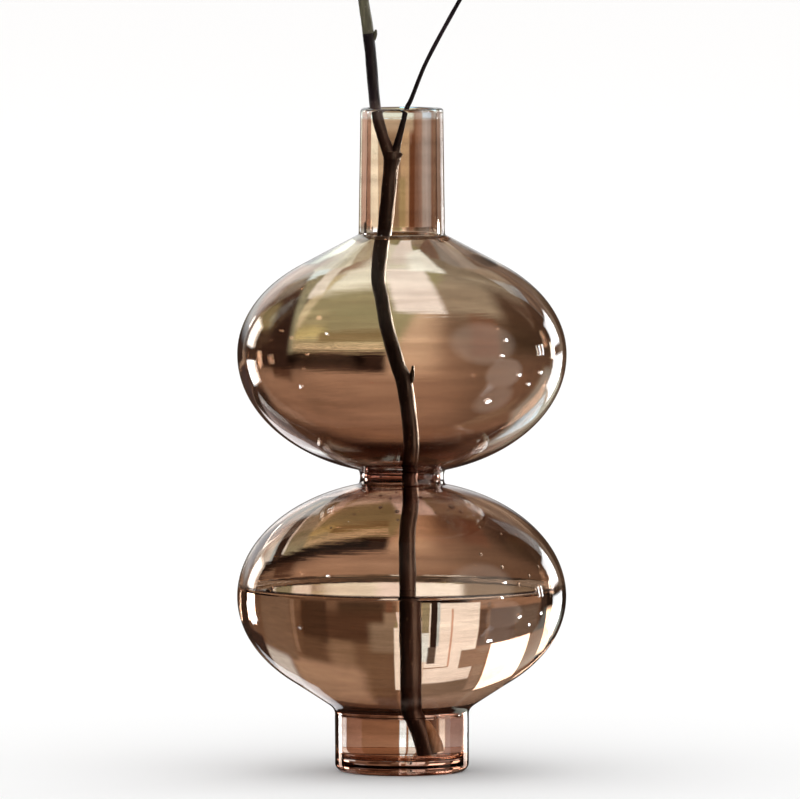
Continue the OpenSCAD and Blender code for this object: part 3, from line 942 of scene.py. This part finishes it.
# The wall that shines through the glass: boxes in metres across and up on it, each with its soft edge's
# width, its colour and, where its sides slant, their lean. Sides of 9 m reach past the wall's edges.
WALL_Y = 3.0
WALL_SIDES = (-2.4, 3.4, -1.2, 2.8)
WALL_BASE = (0.62, 0.45, 0.34)
WALL = [
    ("lower_wall", (-9, 9, -9, -0.18), 0.10, (0.52, 0.36, 0.27)),
    ("tabletop", (-9, 9, -9, -0.30), 0.05, (0.075, 0.045, 0.035)),
    ("right_shade", (0.08, 9, -0.26, 0.12), 0.05, (0.30, 0.21, 0.155)),
    ("right_wall", (0.065, 9, 0.02, 2.8), 0.02, (0.32, 0.23, 0.17)),
    ("right_dark", (0.17, 0.60, -0.02, 0.50), 0.04, (0.13, 0.09, 0.06)),
    ("left_dark", (-0.60, -0.13, -0.06, 0.45), 0.05, (0.055, 0.035, 0.026)),
    ("slats_dark", (0.10, 1.12, 0.10, 0.52), 0.10, (0.17, 0.105, 0.07)),
    ("slat_dark", (0.73, 1.08, -0.02, 0.56), 0.03, (0.12, 0.075, 0.05)),
    ("slat_dark_low", (0.80, 1.15, 0.50, 0.95), 0.06, (0.24, 0.17, 0.12)),
    ("slat_pale", (1.20, 1.28, -0.02, 0.80), 0.02, (0.52, 0.42, 0.34)),
    ("upper_panel", (0.45, 0.74, 0.50, 1.80), 0.07, (0.50, 0.41, 0.31)),
    ("upper_shade", (0.10, 0.42, 0.50, 1.60), 0.10, (0.36, 0.27, 0.19)),
    ("upper_pale", (0.40, 1.45, 0.90, 2.2), 0.10, (0.80, 0.68, 0.55)),
    ("right_far", (1.29, 2.2, -0.10, 1.0), 0.06, (0.40, 0.33, 0.27)),
    ("brown_wall", (-2.3, -0.73, 0.09, 0.60), 0.02, (0.27, 0.21, 0.18)),
    ("brown_slat", (-0.87, -0.82, 0.0, 0.55), 0.008, (0.42, 0.33, 0.27)),
    ("grey_wall", (-1.95, -1.28, 0.12, 0.60), 0.06, (0.36, 0.34, 0.32)),
    ("dark_far_left", (-9, -2.05, -0.20, 0.60), 0.05, (0.10, 0.08, 0.07)),
    ("grey_panel", (0.03, 0.17, 0.108, 0.30), 0.03, (0.60, 0.54, 0.44)),
    ("grey_sky", (0.03, 0.30, 0.24, 0.62), 0.05, (0.50, 0.46, 0.38)),
    ("warm_panel", (-0.01, 0.050, -0.06, 0.104), 0.022, (1.10, 0.90, 0.70)),
    ("red_frame", (0.10, 0.15, -0.02, 0.105), 0.008, (0.34, 0.20, 0.14)),
    ("left_post", (-0.25, -0.165, -0.10, 0.0), 0.015, (0.16, 0.09, 0.06)),
    ("greenery", (-0.180, 0.0, -0.008, 0.30), 0.010, (0.60, 0.62, 0.40), 0.28),
    ("sunlit_sky", (-0.13, 0.0, 0.20, 0.46), 0.03, (1.60, 1.80, 1.75), 0.28),
    ("sunlit_hedge", (-0.19, -0.095, 0.038, 0.075), 0.010, (1.0, 1.0, 0.52)),
    ("hedge_shade", (-0.11, -0.01, 0.070, 0.125), 0.010, (0.52, 0.54, 0.34), 0.28),
    ("hedge_low", (-0.105, -0.01, 0.021, 0.052), 0.006, (0.42, 0.36, 0.20)),
    ("window_edge", (-0.182, -0.150, 0.07, 0.30), 0.008, (1.15, 1.15, 0.85), 0.28),
    ("cream_wedge", (0.003, 0.066, 0.100, 0.34), 0.006, (1.75, 1.85, 2.00), -0.10),
    ("cream_strip", (0.020, 0.082, 0.290, 1.30), 0.008, (2.00, 2.35, 2.55)),
    ("sill_line_a", (-0.19, -0.01, 0.002, 0.006), 0.0015, (2.0, 1.8, 1.35)),
    ("sill_line_b", (-0.19, -0.01, 0.012, 0.016), 0.0015, (1.8, 1.7, 1.25)),
    ("sill_shadow", (-0.40, -0.008, -0.058, -0.010), 0.006, (0.050, 0.028, 0.020)),
    # Painted shadow: the darkest core of the shadow under the sill
    ("sill_core", (-0.40, -0.035, -0.040, -0.018), 0.006, (0.006, 0.002, 0.001)),
    ("door", (-0.726, -0.186, 0.00, 1.22), 0.010, (2.00, 2.35, 2.60)),
    ("floor_shade", (-1.6, -0.10, 1.16, 2.9), 0.02, (0.50, 0.46, 0.40)),
    ("door_line", (-0.445, -0.425, 0.07, 0.86), 0.006, (1.35, 1.05, 0.95)),
    ("door_stile", (-0.190, -0.115, 0.20, 1.22), 0.006, (1.70, 1.85, 1.90)),
    ("pane_low", (-0.226, -0.157, -0.01, 0.36), 0.006, (0.60, 0.66, 0.50)),
    ("pane_high", (-0.226, -0.157, 0.36, 0.76), 0.010, (1.70, 2.40, 2.90)),
    ("door_bar", (-0.297, -0.237, -0.01, 0.56), 0.006, (0.05, 0.035, 0.03)),
    ("door_bar_low", (-0.297, -0.218, 0.55, 0.79), 0.010, (0.24, 0.22, 0.21)),
    ("bar_edge", (-0.319, -0.297, -0.01, 0.54), 0.005, (1.10, 1.60, 2.00)),
    ("sill", (-0.44, -0.19, 0.855, 0.875), 0.006, (0.80, 0.70, 0.62)),
    ("notch", (-0.90, -0.56, 0.63, 0.92), 0.010, (0.66, 0.56, 0.48)),
    ("post", (-0.90, -0.74, 0.92, 1.50), 0.03, (0.80, 0.75, 0.68)),
    ("left_clear", (-2.4, -0.26, 1.60, 2.8), 0.08, (0.70, 0.66, 0.60)),
    ("bright_window", (-1.76, -0.93, 0.60, 1.60), 0.012, (6, 6, 6)),
    ("right_clear", (1.50, 2.30, 0.98, 2.8), 0.10, (1.30, 1.65, 1.95)),
    ("right_far_high", (2.35, 9, 0.78, 9), 0.06, (0.06, 0.04, 0.035)),
    # Painted shadow on the room's floor to the left
    ("left_floor", (-9, -0.36, -9, -0.20), 0.05, (0.02, 0.015, 0.012)),
    ("white_floor", (-1.02, -0.36, -9, -0.66), 0.04, (1.1, 1.1, 1.2)),
    ("pale_floor", (0.45, 3.4, -1.2, -0.24), 0.06, (0.62, 0.62, 0.53)),
    ("right_window", (2.60, 3.5, -0.10, 0.60), 0.02, (14, 14, 14)),
]

# Small cards just behind the vase stand for near things. One is seen through the foot, one through the neck
# and one through the left edge of each bulb.
FOOT_CARD_Y = 0.3
FOOT_CARD = (-0.30, 0.30, -0.25, 0.012)
FOOT_CARD_BASE = (0.44, 0.34, 0.25)
FOOT_CARD_PARTS = [
    ("pale_left", (0.170, 0.30, -0.25, 0.1), 0.010, (1.9, 2.9, 3.9)),
    ("brown_left", (0.088, 0.170, -0.25, 0.1), 0.003, (0.56, 0.47, 0.42)),
    ("strip_a", (-0.007, 0.004, -0.25, 0.1), 0.0012, (1.6, 2.9, 4.0)),
    ("strip_b", (-0.026, -0.011, -0.25, 0.1), 0.0012, (1.3, 2.2, 2.9)),
    ("dark_right", (-0.070, -0.030, -0.25, 0.1), 0.004, (0.22, 0.16, 0.12)),
    ("strip_c", (-0.098, -0.078, -0.25, 0.1), 0.003, (1.4, 1.85, 2.1)),
    ("brown_right", (-0.240, -0.100, -0.25, 0.1), 0.004, (0.55, 0.56, 0.64)),
    ("pale_right", (-0.30, -0.240, -0.25, 0.1), 0.006, (1.4, 1.6, 1.8)),
    ("table_edge", (-0.30, 0.30, -0.25, -0.13), 0.020, (0.05, 0.03, 0.02)),
]
LEFT_CARD_Y = 0.15
UPPER_LEFT_CARD = (-0.14, -0.040, 0.138, 0.240)
UPPER_LEFT_EDGE = ((-0.16, -0.0480, 0.1415, 0.232), 0.0018, 0.10)
UPPER_LEFT_BASE = (0.060, 0.034, 0.026)
UPPER_LEFT_PARTS = [
    ("leaves", (-0.085, -0.059, 0.164, 0.180), 0.003, (0.50, 0.50, 0.28), 0.25),
    ("window_top", (-0.14, -0.044, 0.188, 0.24), 0.004, (0.46, 0.44, 0.40)),
]
LOWER_LEFT_CARD = (-0.17, -0.070, 0.090, 0.136)
LOWER_LEFT_EDGE = ((-0.19, -0.076, 0.094, 0.20), 0.002, 0.0)
LOWER_LEFT_BASE = (0.10, 0.07, 0.07)
LOWER_LEFT_PARTS = [
    ("brown_low", (-0.17, -0.07, 0.08, 0.098), 0.003, (0.30, 0.22, 0.17)),
]
NECK_CARD_Y = 0.10
NECK_CARD = (-0.14, 0.14, 0.200, 0.250)
NECK_CARD_BASE = (0.50, 0.42, 0.30)
NECK_CARD_PARTS = [
    ("left_rim", (-0.20, -0.041, 0, 1), 0.002, (0.70, 0.50, 0.42)),
    ("pale_left", (-0.041, -0.0215, 0, 1), 0.0012, (1.75, 2.05, 1.95)),
    ("olive_left", (-0.0215, -0.0140, 0, 1), 0.001, (0.98, 0.98, 0.80)),
    ("cream", (-0.0005, 0.0058, 0, 1), 0.0006, (0.92, 0.82, 0.58)),
    ("olive_low", (-0.0015, 0.0030, 0, 0.219), 0.0012, (0.72, 0.70, 0.42)),
    ("brown", (0.0058, 0.0180, 0, 1), 0.0006, (0.46, 0.31, 0.24)),
    ("brown_dark", (0.0074, 0.0105, 0, 1), 0.0008, (0.29, 0.15, 0.09)),
    ("brown_dark_low", (0.0060, 0.0105, 0, 0.232), 0.0010, (0.25, 0.12, 0.065)),
    ("brown_deep", (0.0105, 0.0165, 0, 0.232), 0.0010, (0.36, 0.25, 0.21)),
    ("grey", (0.0180, 0.0360, 0, 1), 0.0012, (0.58, 0.60, 0.64)),
    ("brown_right", (0.0360, 0.20, 0, 1), 0.0020, (0.38, 0.28, 0.23)),
    ("top_pale", (-0.0215, 0.0090, 0.2370, 1), 0.002, (0.80, 0.76, 0.62)),
]


def make_card(name, y, sides, base, patches, sway_by, edge=None):
    """A painted, glowing upright card behind the vase, which only light through the glass meets.

    edge is a soft outline (box, blur, lean), beyond which the card is clear.
    """
    left, right, low, high = sides
    material = bpy.data.materials.new(name)
    material.use_nodes = True
    nodes = Nodes(material)
    place = nodes.add("ShaderNodeNewGeometry").outputs["Position"]
    split = nodes.add("ShaderNodeSeparateXYZ", {"Vector": place}).outputs
    sway = nodes.noise(place, 6.0, (1, 1, 0.6), detail=2.0)
    across = nodes.calc("MULTIPLY_ADD", sway, sway_by, split["X"])
    color = painted(nodes, across, split["Z"], (*base, 1), patches)
    grain = nodes.noise(place, 1.0, (2.0, 1, 70), detail=6.0, roughness=0.7)
    streak = nodes.between(grain, 0.3, 0.7, 0.7, 1.3)
    streaked = nodes.add("ShaderNodeVectorMath", {0: color, "Scale": streak}, operation="SCALE")
    glow = nodes.add("ShaderNodeEmission", {"Color": streaked.outputs["Vector"], "Strength": 1.0})
    surface = glow.outputs["Emission"]
    if edge:
        inside = soft_box(nodes, across, split["Z"], *edge)
        clear = nodes.add("ShaderNodeBsdfTransparent").outputs["BSDF"]
        surface = nodes.add("ShaderNodeMixShader", {0: inside, 1: clear, 2: surface}).outputs["Shader"]
    nodes.feed(nodes.add("ShaderNodeOutputMaterial").inputs["Surface"], surface)
    middle = ((left + right) / 2, y, (low + high) / 2)
    bpy.ops.mesh.primitive_plane_add(size=1, location=middle, rotation=(math.pi / 2, 0, 0))
    card = bpy.context.object
    card.name = name
    card.scale = (right - left, high - low, 1)
    card.data.materials.append(material)
    card.visible_camera = False
    card.visible_diffuse = False
    card.visible_glossy = False
    card.visible_shadow = False


def make_world():
    """White studio light on the floor and behind the object, and a dim room with windows in the glass."""
    world = bpy.data.worlds.new("studio")
    bpy.context.scene.world = world
    world.use_nodes = True
    nodes = Nodes(world)
    direction = nodes.add("ShaderNodeTexCoord").outputs["Generated"]
    split = nodes.add("ShaderNodeSeparateXYZ", {"Vector": direction}).outputs
    azimuth = nodes.calc("DEGREES", nodes.calc("ARCTAN2", split["X"], split["Y"]))
    elevation = nodes.calc("DEGREES", nodes.calc("ARCSINE", split["Z"]))
    mirrored = painted(nodes, azimuth, elevation, (*MIRRORED_BASE, 1), MIRRORED)
    for *disc, tint in MIRRORED_DISCS:
        mirrored = nodes.mix(soft_disc(nodes, direction, *disc), mirrored, (*tint, 1))
    beyond = painted(nodes, azimuth, elevation, (*BEYOND_BASE, 1), BEYOND)
    ray = nodes.add("ShaderNodeLightPath").outputs
    room = nodes.mix(ray["Is Glossy Ray"], beyond, mirrored)
    plain = nodes.calc("MAXIMUM", ray["Is Camera Ray"], ray["Is Diffuse Ray"])
    color = nodes.mix(plain, room, (1, 1, 1, 1))
    back = nodes.add("ShaderNodeBackground", {"Color": color, "Strength": 1.1})
    nodes.feed(nodes.add("ShaderNodeOutputWorld").inputs["Surface"], back.outputs["Background"])


def light_twig(name, at, aim, degrees, watts, tint, pieces):
    """A spot that shines on the twig alone, as light that reaches it through the glass would."""
    data = bpy.data.lights.new(name, "SPOT")
    data.spot_size = math.radians(degrees)
    data.spot_blend = 0.6
    data.shadow_soft_size = 0.03
    data.energy = watts
    data.color = tint
    light = bpy.data.objects.new(name, data)
    bpy.context.scene.collection.objects.link(light)
    light.location = at
    light.rotation_euler = (Vector(aim) - light.location).to_track_quat("-Z", "Y").to_euler()
    light.visible_camera = False
    lit = bpy.data.collections.new(name + "_only")
    for piece in pieces:
        lit.objects.link(piece)
    light.light_linking.receiver_collection = lit
    light.light_linking.blocker_collection = lit


make_camera()
make_floor()
make_world()
light_twig("window_rim", (0.30, 0.28, 0.160), (0, 0, 0.160), 21, 16, (1.0, 0.93, 0.82), twig_pieces)
light_twig("fork_glow", (0.30, -0.45, 0.300), (-0.006, 0, 0.240), 3.6, 14, (1.0, 0.80, 0.62), twig_pieces)
light_twig("low_glow", (0.45, -0.40, 0.080), (0, 0, 0.068), 15, 9, (1.0, 0.72, 0.55), twig_pieces)
make_card("wall_beyond", WALL_Y, WALL_SIDES, WALL_BASE, WALL, 0.02)
make_card("foot_card", FOOT_CARD_Y, FOOT_CARD, FOOT_CARD_BASE, FOOT_CARD_PARTS, 0.001)
make_card("upper_left_card", LEFT_CARD_Y, UPPER_LEFT_CARD, UPPER_LEFT_BASE, UPPER_LEFT_PARTS, 0.004,
          UPPER_LEFT_EDGE)
make_card("lower_left_card", LEFT_CARD_Y, LOWER_LEFT_CARD, LOWER_LEFT_BASE, LOWER_LEFT_PARTS, 0.004,
          LOWER_LEFT_EDGE)
make_card("neck_card", NECK_CARD_Y, NECK_CARD, NECK_CARD_BASE, NECK_CARD_PARTS, 0.0008)
scene = bpy.context.scene
scene.view_settings.view_transform = "Standard"
scene.cycles.max_bounces = 32
scene.cycles.transmission_bounces = 32
scene.cycles.glossy_bounces = 12
scene.cycles.transparent_max_bounces = 24
